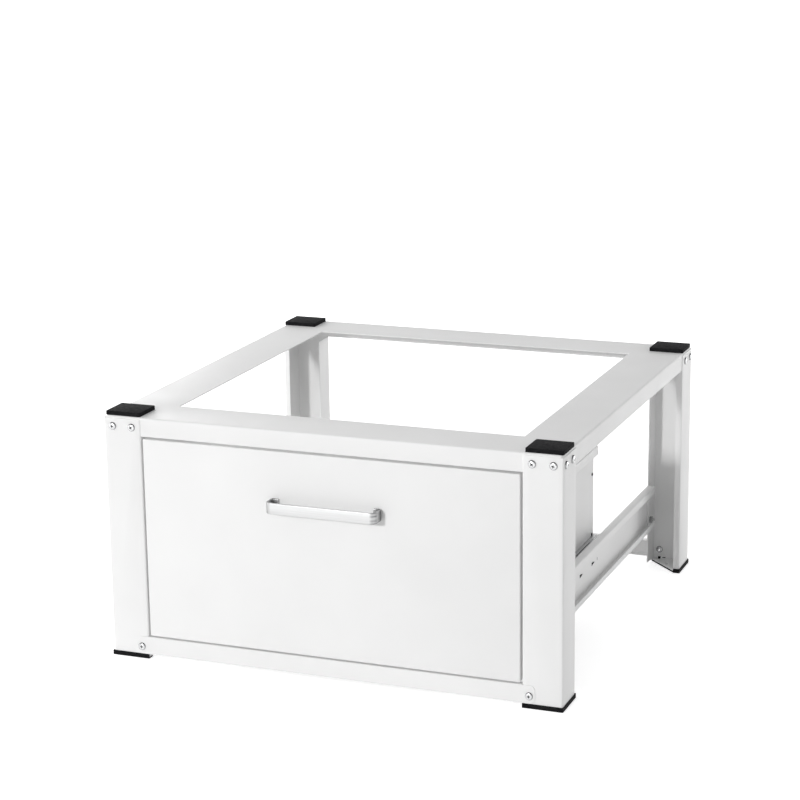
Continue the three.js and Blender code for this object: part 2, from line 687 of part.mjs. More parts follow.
add(drawer, 'drawer_front', drawerFront(), whitePaint);
const sideGeometry = geometryOf(drawerSide());
for (const [sideName, signX] of sides) {
  add(drawer, `drawer_side_${sideName}`, inQuarter(sideGeometry, signX, 1), whitePaint);
}
add(drawer, 'drawer_floor', drawerFloor(), whitePaint);
add(drawer, 'drawer_inner_front', drawerWall(panBack, 1), whitePaint);
add(drawer, 'drawer_rear_wall', drawerWall(boxBack, -1), whitePaint);
add(drawer, 'handle', handle(), brushed);
const handleGrip = DRAWER_SHEET + HANDLE_STRIP - SCREW_SHORT;
const handleScrew = geometryOf(screw(HANDLE_SCREW_R, HANDLE_SCREW_HEAD_R, HANDLE_SCREW_HEAD, handleGrip));
for (const [sideName, signX] of sides) {
  placeScrew(drawer, `handle_screw_${sideName}`, handleScrew, 'rear',
    [signX * HANDLE_CENTRES / 2, panFront + DRAWER_SHEET, handleZ]);
}

// ---------------------------------------------------------------------------------------------------------
// The whole, standing on the middle of its own outline
// ---------------------------------------------------------------------------------------------------------

const frontmost = panFront - HANDLE_REACH;
const rearmost = halfD + SHEET + SCREW_HEAD;
const part = new THREE.Group();
part.add(stand, drawer);
part.position.y = -(frontmost + rearmost) / 2;
export default part;
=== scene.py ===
# %% [markdown]
# # A washer pedestal with a drawer
#
# The object is a low stand of powder-coated sheet steel that lifts a washing machine to a handier height. A welded
# top frame is screwed to four folded legs, and a drawer with a bow handle rolls out between them on ball slides.
# Its solids come measured and in place. This lesson dresses them: soft edges on the cut sheet, real screw heads,
# moulded rubber, brushed metal, and a coat of paint that looks sprayed and baked.

# %% Load the measured solids
import json
import math

import bmesh
import bpy
from mathutils import Matrix, Quaternion, Vector

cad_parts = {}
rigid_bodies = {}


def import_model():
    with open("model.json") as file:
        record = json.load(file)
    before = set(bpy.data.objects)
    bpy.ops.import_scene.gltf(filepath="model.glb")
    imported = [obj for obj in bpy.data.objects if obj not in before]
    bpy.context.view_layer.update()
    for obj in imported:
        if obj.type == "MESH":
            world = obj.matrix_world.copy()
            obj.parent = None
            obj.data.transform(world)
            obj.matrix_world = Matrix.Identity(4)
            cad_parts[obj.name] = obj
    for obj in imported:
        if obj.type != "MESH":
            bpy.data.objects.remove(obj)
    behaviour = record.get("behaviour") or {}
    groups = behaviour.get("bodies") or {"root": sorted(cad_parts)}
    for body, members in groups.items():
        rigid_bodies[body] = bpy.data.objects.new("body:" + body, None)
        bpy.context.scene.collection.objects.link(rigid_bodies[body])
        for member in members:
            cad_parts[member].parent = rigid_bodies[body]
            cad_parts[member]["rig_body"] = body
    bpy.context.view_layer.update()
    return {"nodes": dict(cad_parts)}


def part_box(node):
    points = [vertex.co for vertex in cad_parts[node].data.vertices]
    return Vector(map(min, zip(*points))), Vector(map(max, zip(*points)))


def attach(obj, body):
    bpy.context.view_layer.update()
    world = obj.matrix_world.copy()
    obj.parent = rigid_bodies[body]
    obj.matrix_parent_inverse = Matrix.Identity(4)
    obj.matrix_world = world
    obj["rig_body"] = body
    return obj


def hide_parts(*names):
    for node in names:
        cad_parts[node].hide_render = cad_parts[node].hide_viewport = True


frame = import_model()
solids = frame["nodes"]
MM = 0.001

# %% [markdown]
# ## The camera
#
# The stand is looked down on from a little to its right, through a long lens. The eye and the point that it looks
# at were found by matching the corners of the pads, the legs and the opening. The lens isn't shifted, so the
# uprights come together very slightly towards the floor.

# %% Place the camera
LENS = 102.5
SENSOR = 36.0
EYE = Vector((1.2443, -3.2213, 1.2180))
AIM = Vector((-0.0194, 0.0, 0.3418))
ROLL = math.radians(-0.76)

camera_data = bpy.data.cameras.new("camera")
camera_data.lens = LENS
camera_data.sensor_width = SENSOR
camera = bpy.data.objects.new("camera", camera_data)
camera.location = EYE
camera.rotation_mode = "QUATERNION"
camera.rotation_quaternion = (AIM - EYE).to_track_quat("-Z", "Y") @ Quaternion((0, 0, 1), ROLL)
bpy.context.scene.collection.objects.link(camera)
bpy.context.scene.camera = camera
print("camera", round((AIM - EYE).length, 2), "m away")

# %% [markdown]
# ## Small helpers for node materials
#
# A material is a tree of nodes. Two short helpers keep the trees readable: one adds a node and sets its sockets
# by name, and the other joins two sockets.

# %% Helpers for node trees
def add_node(tree, kind, settings=None, **inputs):
    """A node of a kind, with its own settings and the plain values of its inputs."""
    node = tree.nodes.new(kind)
    for key, value in (settings or {}).items():
        setattr(node, key, value)
    for key, value in inputs.items():
        node.inputs[key.replace("_", " ")].default_value = value
    return node


def new_material(name, **constants):
    """A material with a Principled BSDF, whose constant values are set on its own sockets."""
    material = bpy.data.materials.new(name)
    material.use_nodes = True
    shader = material.node_tree.nodes["Principled BSDF"]
    for key, value in constants.items():
        shader.inputs[key.replace("_", " ")].default_value = value
    return material, material.node_tree, shader


# %% [markdown]
# ## Shared surface effects
#
# Every finish here varies a little over the surface, and two effects come back in several of them. Both are node
# groups, so that each material places them with its own values. The first is a speckle: noise at one size, brought
# to a range. The second is a brushing: noise stretched into hairlines along one direction.

# %% Node group: speckle
def group_tree(name, inputs, outputs):
    """An empty node group with float or vector inputs and float outputs."""
    tree = bpy.data.node_groups.new(name, "ShaderNodeTree")
    for label, kind in inputs:
        tree.interface.new_socket(label, in_out="INPUT", socket_type=kind)
    for label in outputs:
        tree.interface.new_socket(label, in_out="OUTPUT", socket_type="NodeSocketFloat")
    return tree, tree.nodes.new("NodeGroupInput"), tree.nodes.new("NodeGroupOutput")


def ranged_noise(tree, start, vector_socket, detail):
    """Noise along a vector, brought between the group's inputs Low and High."""
    noise = add_node(tree, "ShaderNodeTexNoise", Detail=detail)
    spread = add_node(tree, "ShaderNodeMapRange", From_Min=0.3, From_Max=0.7)
    tree.links.new(vector_socket, noise.inputs["Vector"])
    tree.links.new(start.outputs["Scale"], noise.inputs["Scale"])
    tree.links.new(noise.outputs["Fac"], spread.inputs["Value"])
    tree.links.new(start.outputs["Low"], spread.inputs["To Min"])
    tree.links.new(start.outputs["High"], spread.inputs["To Max"])
    return spread.outputs["Result"]


FLOAT = "NodeSocketFloat"
speckle, speckle_in, speckle_out = group_tree(
    "speckle", [("Vector", "NodeSocketVector"), ("Scale", FLOAT), ("Low", FLOAT), ("High", FLOAT)], ["Value"])
SPECKLE_DETAIL = 2.0
speckle.links.new(
    ranged_noise(speckle, speckle_in, speckle_in.outputs["Vector"], SPECKLE_DETAIL), speckle_out.inputs["Value"])
print("group", speckle.name)

# %% Node group: brushing
brushing, brushing_in, brushing_out = group_tree(
    "brushing",
    [("Vector", "NodeSocketVector"), ("Stretch", "NodeSocketVector"), ("Scale", FLOAT), ("Low", FLOAT),
     ("High", FLOAT)],
    ["Value"])
stretch = add_node(brushing, "ShaderNodeVectorMath", {"operation": "MULTIPLY"})
brushing.links.new(brushing_in.outputs["Vector"], stretch.inputs[0])
brushing.links.new(brushing_in.outputs["Stretch"], stretch.inputs[1])
BRUSHING_DETAIL = 3.0
brushing.links.new(
    ranged_noise(brushing, brushing_in, stretch.outputs["Vector"], BRUSHING_DETAIL), brushing_out.inputs["Value"])
print("group", brushing.name)


# %% Placing the groups in a material
def place_group(tree, group, source, **values):
    """A shared group in a material, fed with a vector."""
    node = add_node(tree, "ShaderNodeGroup", {"node_tree": group})
    for key, value in values.items():
        node.inputs[key].default_value = value
    tree.links.new(source, node.inputs["Vector"])
    return node.outputs["Value"]


def object_vector(tree):
    return tree.nodes.new("ShaderNodeTexCoord").outputs["Object"]


def bump_from(tree, height, shader, strength, distance):
    """Turns a height into a bent normal on the shader."""
    bump = add_node(tree, "ShaderNodeBump", Strength=strength, Distance=distance)
    tree.links.new(height, bump.inputs["Height"])
    tree.links.new(bump.outputs["Normal"], shader.inputs["Normal"])


def two_tone(tree, mask, shader, low_colour, high_colour):
    """Base colour between two tones, by a mask."""
    mix = add_node(tree, "ShaderNodeMix", {"data_type": "RGBA"})
    mix.inputs["A"].default_value = (*low_colour, 1)
    mix.inputs["B"].default_value = (*high_colour, 1)
    tree.links.new(mask, mix.inputs["Factor"])
    tree.links.new(mix.outputs["Result"], shader.inputs["Base Color"])
    return mix


# %% [markdown]
# ## White powder coat
#
# Powder is sprayed on dry and baked until it flows. It never lies quite flat: under a lamp it shows a fine
# orange peel about a millimetre across. The paint could be one flat white, but then the wide faces look like
# paper. Here the tone drifts by a hair over a hand's width, the gloss varies with it, and a bump gives the peel.

# %% Paint
PAINT_DARK = (0.865, 0.865, 0.863)
PAINT_LIGHT = (0.895, 0.895, 0.893)
DRIFT_SCALE = 7.0
GLOSS_SCALE = 21.0
PEEL_SCALE = 650.0

paint, tree, shader = new_material("white powder coat", IOR=1.5, Specular_IOR_Level=0.4)
place = object_vector(tree)
drift = place_group(tree, speckle, place, Scale=DRIFT_SCALE, Low=0.0, High=1.0)
two_tone(tree, drift, shader, PAINT_DARK, PAINT_LIGHT)
gloss = place_group(tree, speckle, place, Scale=GLOSS_SCALE, Low=0.40, High=0.50)
tree.links.new(gloss, shader.inputs["Roughness"])
peel = place_group(tree, speckle, place, Scale=PEEL_SCALE, Low=0.0, High=1.0)
bump_from(tree, peel, shader, strength=0.12, distance=0.05 * MM)
print("paint", paint.name)

# %% [markdown]
# ## Moulded rubber
#
# The pads and feet are dense black rubber with a matt, slightly mottled skin. Two speckles do it: a coarse one
# greys the colour in patches, as handling does, and a fine one gives the skin its grain.

# %% Rubber
RUBBER_DARK = (0.008, 0.008, 0.009)
RUBBER_LIGHT = (0.018, 0.018, 0.019)

rubber, tree, shader = new_material("moulded rubber", Specular_IOR_Level=0.035)
place = object_vector(tree)
patches = place_group(tree, speckle, place, Scale=160.0, Low=0.0, High=1.0)
two_tone(tree, patches, shader, RUBBER_DARK, RUBBER_LIGHT)
tree.links.new(place_group(tree, speckle, place, Scale=400.0, Low=0.60, High=0.80), shader.inputs["Roughness"])
skin = place_group(tree, speckle, place, Scale=1500.0, Low=0.0, High=1.0)
bump_from(tree, skin, shader, strength=0.3, distance=0.08 * MM)
print("rubber", rubber.name)

# %% [markdown]
# ## Zinc plate
#
# Screws, nuts and inserts are zinc plated, and the slides are rolled steel. Small turned parts have a bright face.
# The steep side of a head, the bottom of its recess and the edges of inserts and nuts are painted dark: painted
# shade in the recess and at the edges, and a painted dark reflection on a rim, darkest on its upper side. That
# can't be told from place alone, so each mesh carries a value of painted shade on its points, and the material
# reads it.

# %% Bright zinc for small parts
ZINC_BRIGHT = (0.60, 0.605, 0.61)
ZINC_SHADE = (0.03, 0.03, 0.032)

zinc, tree, shader = new_material("bright zinc", Metallic=1.0)
place = object_vector(tree)
# Painted shade: the mesh's value turns the bright zinc towards near black.
painted_shade = add_node(tree, "ShaderNodeAttribute", {"attribute_name": "painted_shade"})
two_tone(tree, painted_shade.outputs["Fac"], shader, ZINC_BRIGHT, ZINC_SHADE)
tree.links.new(place_group(tree, speckle, place, Scale=900.0, Low=0.20, High=0.34), shader.inputs["Roughness"])
plating = place_group(tree, speckle, place, Scale=1400.0, Low=0.0, High=1.0)
bump_from(tree, plating, shader, strength=0.1, distance=0.03 * MM)
print("zinc", zinc.name)

# %% Rolled steel of the slides
STEEL_DARK = (0.40, 0.405, 0.41)
STEEL_LIGHT = (0.58, 0.585, 0.59)

slide_steel, tree, shader = new_material("rolled slide steel", Metallic=1.0)
place = object_vector(tree)
rolled = place_group(tree, brushing, place, Stretch=(1.0, 0.02, 1.0), Scale=420.0, Low=0.0, High=1.0)
two_tone(tree, rolled, shader, STEEL_DARK, STEEL_LIGHT)
tree.links.new(
    place_group(tree, brushing, place, Stretch=(1.0, 0.03, 1.0), Scale=300.0, Low=0.26, High=0.42),
    shader.inputs["Roughness"])
bump_from(tree, rolled, shader, strength=0.15, distance=0.03 * MM)
print("steel", slide_steel.name)

# %% [markdown]
# ## Brushed aluminium
#
# The handle is one flat strip, brushed along its length before it was bent. Its hairlines run round the bends with
# the strip, and because the strip lies on edge they are lines of one height, so stretching the noise along X and Y
# is enough. Two values on the mesh carry painted shade. One darkens the right bends in streaks that follow the
# grain. The other darkens the metal evenly: painted shade on the left bends and legs and a little on the right
# leg, and a painted contact shadow at the right foot's bend.

# %% Brushed handle
BRUSHED_DARK = (0.515, 0.517, 0.519)
BRUSHED_LIGHT = (0.58, 0.582, 0.584)
BEND_SHADE_GREY = (0.16, 0.163, 0.166)
HANDLE_SHADE_GREY = (0.10, 0.102, 0.104)

brushed, tree, shader = new_material("brushed aluminium", Metallic=1.0)
place = object_vector(tree)
hairlines = place_group(tree, brushing, place, Stretch=(0.008, 0.008, 1.0), Scale=900.0, Low=0.0, High=1.0)
tone = two_tone(tree, hairlines, shader, BRUSHED_DARK, BRUSHED_LIGHT)
# Painted shade: streaks at the right bends, and an even darkening on the left, the right leg and the right foot.
bend_shade = add_node(tree, "ShaderNodeAttribute", {"attribute_name": "bend_shade"})
coarse = place_group(tree, brushing, place, Stretch=(0.01, 0.01, 1.0), Scale=330.0, Low=0.0, High=1.0)
strength = add_node(tree, "ShaderNodeMath", {"operation": "MULTIPLY"})
tree.links.new(bend_shade.outputs["Fac"], strength.inputs[0])
tree.links.new(coarse, strength.inputs[1])
handle_shade = add_node(tree, "ShaderNodeAttribute", {"attribute_name": "handle_shade"})
colour = tone.outputs["Result"]
for mask, grey in ((strength.outputs["Value"], BEND_SHADE_GREY), (handle_shade.outputs["Fac"], HANDLE_SHADE_GREY)):
    darker = add_node(tree, "ShaderNodeMix", {"data_type": "RGBA"})
    darker.inputs["B"].default_value = (*grey, 1)
    tree.links.new(mask, darker.inputs["Factor"])
    tree.links.new(colour, darker.inputs["A"])
    colour = darker.outputs["Result"]
tree.links.new(colour, shader.inputs["Base Color"])
tree.links.new(
    place_group(tree, brushing, place, Stretch=(0.01, 0.01, 1.0), Scale=500.0, Low=0.30, High=0.44),
    shader.inputs["Roughness"])
bump_from(tree, hairlines, shader, strength=0.2, distance=0.03 * MM)
print("handle finish", brushed.name)

# %% [markdown]
# ## From solid to finished piece
#
# A measured solid arrives as loose triangles. To round its edges it has to be one skin again, so a copy of it is
# merged, and the triangles of each flat face are dissolved into one. A Bevel modifier then breaks every sharp
# edge by a fraction of a millimetre, as paint and tumbling do, and that thin line is what catches the light. The
# steps inside a fold are shallower than the bevel's limit, so they are only shaded smooth.

# %% Turn a bmesh into a piece of the object
SMOOTH_BELOW = math.radians(38)
SOFT_ABOVE = math.radians(50)


def finished(bm, name, body, slot, material, *replaced):
    """Stores a bmesh as a piece that rides on a body, and hides the solids that it stands for."""
    for face in bm.faces:
        face.smooth = True
        face.material_index = 0
    for edge in bm.edges:
        edge.smooth = len(edge.link_faces) != 2 or edge.calc_face_angle(0) < SMOOTH_BELOW
    mesh = bpy.data.meshes.new(name)
    bm.to_mesh(mesh)
    bm.free()
    if "custom_normal" in mesh.attributes:
        mesh.attributes.remove(mesh.attributes["custom_normal"])
    mesh.materials.append(material)
    piece = bpy.data.objects.new(name, mesh)
    bpy.context.scene.collection.objects.link(piece)
    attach(piece, body)
    if replaced:
        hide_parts(*replaced)
    return piece


def break_edges(piece, width, segments=2):
    """Rounds the sharp edges of a piece."""
    bevel = piece.modifiers.new("broken edges", "BEVEL")
    bevel.width = width
    bevel.segments = segments
    bevel.limit_method = "ANGLE"
    bevel.angle_limit = SOFT_ABOVE
    bevel.harden_normals = True
    return piece


def merged_copy(node):
    """A solid's mesh as one skin, each flat face whole."""
    bm = bmesh.new()
    bm.from_mesh(solids[node].data)
    bmesh.ops.remove_doubles(bm, verts=bm.verts, dist=0.005 * MM)
    bmesh.ops.dissolve_limit(bm, angle_limit=math.radians(1), verts=bm.verts, edges=bm.edges)
    return bm


def softened(node, slot, material, width):
    """A piece made from a solid, with its edges broken."""
    piece = finished(merged_copy(node), node + ".finished", solids[node]["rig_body"], slot, material, node)
    return break_edges(piece, width)


# %% [markdown]
# ## Painted sheet
#
# The frame, legs, rails and the drawer's box are folded sheet with laser-cut edges. Their solids already hold
# every fold, hole and slot, so each is softened rather than made again.

# %% Soften the painted sheet
SHEET_EDGE = 0.3 * MM
PAINTED = [name for name in solids if name.startswith((
    "top_frame", "leg_", "front_lower_rail", "rear_crossbar", "side_rail_", "drawer_side_", "drawer_floor",
    "drawer_inner_front", "drawer_rear_wall"))]
for name in PAINTED:
    softened(name, "white_paint", paint, SHEET_EDGE)
print(len(PAINTED), "painted pieces softened")

# %% [markdown]
# ## Slide members
#
# The drawer's member of each slide is kept as measured and softened. The outer member is softened too, but its
# lips are drawn back by a few millimetres, which opens the thin dark line that shows beside the drawer. A lip is
# the set of points nearest the drawer, so its points can be picked by place and moved together.

# %% Soften the slides' fixed and drawer members
SLIDE_EDGE = 0.25 * MM
LEDGE_REACH = 6.4 * MM
LEDGE_GAP = 2.0 * MM

wall_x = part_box("slide_right_drawer_member")[0].x
lip_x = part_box("slide_right_rail_member")[0].x
relief = wall_x + LEDGE_REACH + LEDGE_GAP - lip_x
for side, sign in (("left", -1), ("right", 1)):
    softened(f"slide_{side}_drawer_member", "slide_steel", slide_steel, SLIDE_EDGE)
    name = f"slide_{side}_rail_member"
    bm = merged_copy(name)
    lips = [v for v in bm.verts if abs(v.co.x) < lip_x + SLIDE_EDGE]
    bmesh.ops.translate(bm, vec=(sign * relief, 0, 0), verts=lips)
    break_edges(finished(bm, name + ".finished", "stand", "slide_steel", slide_steel, name), SLIDE_EDGE)
print("slide members softened, lips drawn back", round(relief / MM, 1), "mm")

# %% [markdown]
# ## Rubber feet
#
# The feet keep the shape of their solids: a flat base cut off across the inner corner, and a rim that hugs the
# outside of the leg. Moulded rubber has no sharp edge at all, so their bevel is wider and has more steps than the
# sheet's.

# %% Feet
RUBBER_EDGE = 0.5 * MM
for name in [n for n in solids if n.startswith("foot_")]:
    foot = finished(merged_copy(name), name + ".moulded", "stand", "black_rubber", rubber, name)
    break_edges(foot, RUBBER_EDGE, 3)
print("feet moulded")

# %% [markdown]
# ## Anti-slip pads
#
# A pad starts as a cube stretched to the solid's box. Its four upright edges are rounded first, with a larger
# radius, and then the rim of its top with a smaller one. Beveling in that order gives the clean corner of a
# die-cut mat.

# %% Pads
PAD_CORNER = 2.0 * MM
PAD_RIM = 0.8 * MM


def box_bmesh(low, high):
    """A cube stretched between two corners."""
    bm = bmesh.new()
    middle = (low + high) / 2
    size = high - low
    place_in = Matrix.Translation(middle) @ Matrix.Diagonal((*size, 1))
    bmesh.ops.create_cube(bm, size=1, matrix=place_in)
    return bm


def round_edges(bm, edges, radius, segments):
    bmesh.ops.bevel(
        bm, geom=list(edges), offset=radius, offset_type="OFFSET", segments=segments, profile=0.5,
        affect="EDGES", material=-1, clamp_overlap=True)


def upright_edges(bm):
    return [e for e in bm.edges if abs((e.verts[0].co - e.verts[1].co).normalized().z) > 0.9]


def edges_at(bm, axis, value):
    """Edges that lie at one place along an axis."""
    return [e for e in bm.edges if all(abs(v.co[axis] - value) < 0.01 * MM for v in e.verts)]


for name in [n for n in solids if n.startswith("pad_")]:
    low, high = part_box(name)
    bm = box_bmesh(low, high)
    round_edges(bm, upright_edges(bm), PAD_CORNER, 4)
    round_edges(bm, edges_at(bm, 2, high.z), PAD_RIM, 3)
    finished(bm, name + ".moulded", "stand", "black_rubber", rubber, name)
print("pads moulded, rim", PAD_RIM / MM, "mm")

# %% [markdown]
# ## Drawer front
#
# The front is a shallow pan: a flat face, four edges turned back, and a flange turned in behind them. A cube gives
# the outside. The back face is inset by the flange's width and its middle is taken out, which leaves the turned
# flange. The outer edges get the small radius of a folded sheet, and a Solidify modifier gives the steel its
# thickness inwards, so the outside stays where it was measured.

# %% Drawer front
PAN_FLANGE = 22.0 * MM
PAN_FOLD = 1.4 * MM
PAN_SHEET = 1.2 * MM

low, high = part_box("drawer_front")
bm = box_bmesh(low, high)
back = max(bm.faces, key=lambda f: f.calc_center_median().y)
bmesh.ops.inset_region(bm, faces=[back], thickness=PAN_FLANGE, use_even_offset=True)
bmesh.ops.delete(bm, geom=[back], context="FACES")
outer = [e for e in bm.edges if len(e.link_faces) == 2 and e.calc_face_angle(0) > SOFT_ABOVE]
round_edges(bm, outer, PAN_FOLD, 3)
bmesh.ops.recalc_face_normals(bm, faces=bm.faces)
drawer_pan = finished(bm, "drawer_front.pan", "drawer", "white_paint", paint, "drawer_front")
wall = drawer_pan.modifiers.new("sheet", "SOLIDIFY")
wall.thickness = PAN_SHEET
wall.offset = -1
print("drawer front", [round(v / MM, 1) for v in high - low], "mm")

# %% [markdown]
# ## Sweeping a strip
#
# The handle is bent from flat strip, and a bmesh can follow that in the order of the bends. One face, the section,
# is pushed straight for each run and spun about a point for each bend. Each step ends in a new face, which the
# next step takes up. The faces that it started from stay inside the strip, so they are taken out at the end. The
# section's corners are rounded before the sweep, and so every long edge of the strip comes out round.

# %% Runs and turns
def end_face(result):
    return next(g for g in result if isinstance(g, bmesh.types.BMFace))


def run(bm, face, push):
    """Pushes the end face straight on."""
    made = bmesh.ops.extrude_face_region(bm, geom=[face])["geom"]
    bmesh.ops.translate(bm, vec=push, verts=[g for g in made if isinstance(g, bmesh.types.BMVert)])
    return end_face(made)


def turn(bm, face, centre, angle, steps):
    """Spins the end face about an upright axis."""
    made = bmesh.ops.spin(
        bm, geom=[face], cent=centre, axis=(0, 0, 1), angle=angle, steps=steps, use_duplicate=False)
    return end_face(made["geom_last"])


# %% Bow handle
HANDLE_FOOT = 12.0 * MM
HANDLE_STRIP = 3.6 * MM
HANDLE_BEND = 9.6 * MM
HANDLE_FOOT_BEND = 4.6 * MM
HANDLE_EDGE = 1.1 * MM
BEND_STEPS = 10
STREAK_GAIN = 1.3
LEFT_SHADE = 0.6
RIGHT_SHADE = 0.1
FOOT_SHADOW = 0.9

low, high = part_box("handle")
middle = (low + high) / 2
reach = high.y - low.y
bm = bmesh.new()
corners = [
    bm.verts.new((low.x + HANDLE_FOOT, high.y - depth, z))
    for depth, z in ((0, low.z), (HANDLE_STRIP, low.z), (HANDLE_STRIP, high.z), (0, high.z))]
bm.faces.new(corners)
bmesh.ops.bevel(
    bm, geom=corners, offset=HANDLE_EDGE, offset_type="OFFSET", segments=4, profile=0.5, affect="VERTICES",
    material=-1, clamp_overlap=True)
section = bm.faces[:][0]
quarter = math.pi / 2
foot_centre = Vector((low.x + HANDLE_FOOT_BEND, high.y - HANDLE_FOOT_BEND, middle.z))
bow_centre = Vector((low.x + HANDLE_BEND, low.y + HANDLE_BEND, middle.z))
leg_run = reach - HANDLE_FOOT_BEND - HANDLE_BEND
face = run(bm, section, Vector((HANDLE_FOOT_BEND - HANDLE_FOOT, 0, 0)))
face = turn(bm, face, foot_centre, quarter, BEND_STEPS)
face = run(bm, face, Vector((0, -leg_run, 0)))
face = turn(bm, face, bow_centre, quarter, BEND_STEPS)
face = run(bm, face, Vector((high.x - low.x - 2 * HANDLE_BEND, 0, 0)))
face = turn(bm, face, Vector((high.x - HANDLE_BEND, bow_centre.y, middle.z)), quarter, BEND_STEPS)
face = run(bm, face, Vector((0, leg_run, 0)))
face = turn(bm, face, Vector((high.x - HANDLE_FOOT_BEND, foot_centre.y, middle.z)), quarter, BEND_STEPS)
face = run(bm, face, Vector((HANDLE_FOOT_BEND - HANDLE_FOOT, 0, 0)))
inside = [f for f in bm.faces if all(len(e.link_faces) > 2 for e in f.edges)]
bmesh.ops.delete(bm, geom=inside, context="FACES_ONLY")
bmesh.ops.recalc_face_normals(bm, faces=bm.faces)

# Painted shade in streaks at the right bends; even painted shade on the left and right legs; painted contact
# shadow at the right foot.
bend_shade_layer = bm.verts.layers.float.new("bend_shade")
handle_shade_layer = bm.verts.layers.float.new("handle_shade")
for vert in bm.verts:
    at_right = vert.co.x > middle.x
    sideways = HANDLE_BEND - min(vert.co.x - low.x, high.x - vert.co.x)
    forward = low.y + HANDLE_BEND - vert.co.y
    if sideways > 0 and forward > 0:
        swing = math.atan2(sideways, forward)
        vert[bend_shade_layer] = min(1, STREAK_GAIN * math.sin(2 * swing)) if at_right else 0.0
        vert[handle_shade_layer] = 0.0 if at_right else LEFT_SHADE * math.sin(swing)
    elif sideways > 0:
        near_foot = high.y - vert.co.y < HANDLE_FOOT_BEND
        vert[handle_shade_layer] = (FOOT_SHADOW if near_foot else RIGHT_SHADE) if at_right else LEFT_SHADE
handle = finished(bm, "handle.brushed", "drawer", "brushed_aluminium", brushed, "handle")
print("handle", len(handle.data.polygons), "faces, reach", round(reach / MM, 1), "mm")

# %% [markdown]
# ## Screws
#
# One screw is made standing on its shank and then set into its places. The outline of half a screw is spun right
# round: shank with the close rings of its thread, the underside of the head, a steep rim and a dome. The cross
# recess is cut by two tapered bars with Boolean modifiers, the way a punch forms it. As each screw is set, its
# recess gets painted shade and its rim a painted dark reflection.

# %% Half a screw, spun round
SCREW_R = 3.0 * MM
SCREW_HEAD_R = 5.75 * MM
SCREW_HEAD = 3.2 * MM
THREAD_PITCH = 1.0 * MM
THREAD_DEPTH = 0.45 * MM
RECESS_SPAN = 6.4 * MM
RECESS_WIDTH = 1.5 * MM
RECESS_DEPTH = 1.7 * MM
RECESS_TAPER = (0.45, 0.8, 1)
SPIN_STEPS = 32
SMALL_STEPS = 16
RING_STEPS = 24


def spun(profile, steps=SPIN_STEPS):
    """A closed body from half its outline, spun about Z. The outline starts and ends on the axis."""
    bm = bmesh.new()
    points = [bm.verts.new((r, 0, z)) for r, z in profile]
    edges = [bm.edges.new(pair) for pair in zip(points, points[1:])]
    bmesh.ops.spin(bm, geom=points + edges, cent=(0, 0, 0), axis=(0, 0, 1), angle=2 * math.pi, steps=steps,
                   use_merge=True)
    bmesh.ops.remove_doubles(bm, verts=bm.verts, dist=0.01 * MM)
    bmesh.ops.recalc_face_normals(bm, faces=bm.faces)
    return bm


def thread_profile(length):
    """Up the thread from the tip, one ring a pitch, then the plain neck."""
    points = [(0, -length), (SCREW_R - 2 * THREAD_DEPTH, -length)]
    rings = int((length - SCREW_R / 2) / THREAD_PITCH)
    for ring in range(rings):
        z = -length + (ring + 0.5) * THREAD_PITCH
        points += [(SCREW_R, z), (SCREW_R - THREAD_DEPTH, z + THREAD_PITCH / 2)]
    return points + [(SCREW_R, -SCREW_R / 2 + THREAD_PITCH / 2), (SCREW_R, 0)]


def head_profile(radius, height):
    """Underside, steep rim and domed top of a pan head."""
    dome = [(math.cos(a), math.sin(a)) for a in (math.radians(d) for d in (20, 40, 60, 75))]
    rim = 0.34 * height
    return [(radius, 0), (radius, rim)] + [
        (radius * x, rim + (height - rim) * y) for x, y in dome] + [(0, height)]


# %% Cut the recess and store the screw
DARK_WITHIN = 0.4 * RECESS_SPAN
DARK_ABOVE = 0.3 * MM
DARK_BELOW = SCREW_HEAD - 0.8 * RECESS_DEPTH
RIM_FROM = 0.93 * SCREW_HEAD_R
RIM_SHADE = 0.45


def as_object(bm, name):
    """A bmesh as a plain object, for a modifier to work with."""
    mesh = bpy.data.meshes.new(name)
    bm.to_mesh(mesh)
    bm.free()
    made = bpy.data.objects.new(name, mesh)
    bpy.context.scene.collection.objects.link(made)
    return made


def recess_bar(turned):
    """One wing of the cross, narrower at its foot."""
    top = SCREW_HEAD + 1 * MM
    bm = box_bmesh(
        Vector((-RECESS_SPAN / 2, -RECESS_WIDTH / 2, SCREW_HEAD - RECESS_DEPTH)),
        Vector((RECESS_SPAN / 2, RECESS_WIDTH / 2, top)))
    foot = [v for v in bm.verts if v.co.z < SCREW_HEAD - RECESS_DEPTH + 0.1 * MM]
    bmesh.ops.scale(bm, vec=RECESS_TAPER, verts=foot)
    bmesh.ops.rotate(bm, cent=(0, 0, 0), matrix=Matrix.Rotation(turned, 3, "Z"), verts=bm.verts)
    return as_object(bm, "recess bar")


def cross_cut(screw_object):
    """The screw's mesh with both wings cut out of its head."""
    bars = [recess_bar(angle) for angle in (0, math.pi / 2)]
    for bar in bars:
        cut = screw_object.modifiers.new("recess", "BOOLEAN")
        cut.operation = "DIFFERENCE"
        cut.solver = "EXACT"
        cut.object = bar
    bpy.context.view_layer.update()
    ready = screw_object.evaluated_get(bpy.context.evaluated_depsgraph_get())
    mesh = bpy.data.meshes.new_from_object(ready)
    for extra in (screw_object, *bars):
        bpy.data.objects.remove(extra)
    return mesh


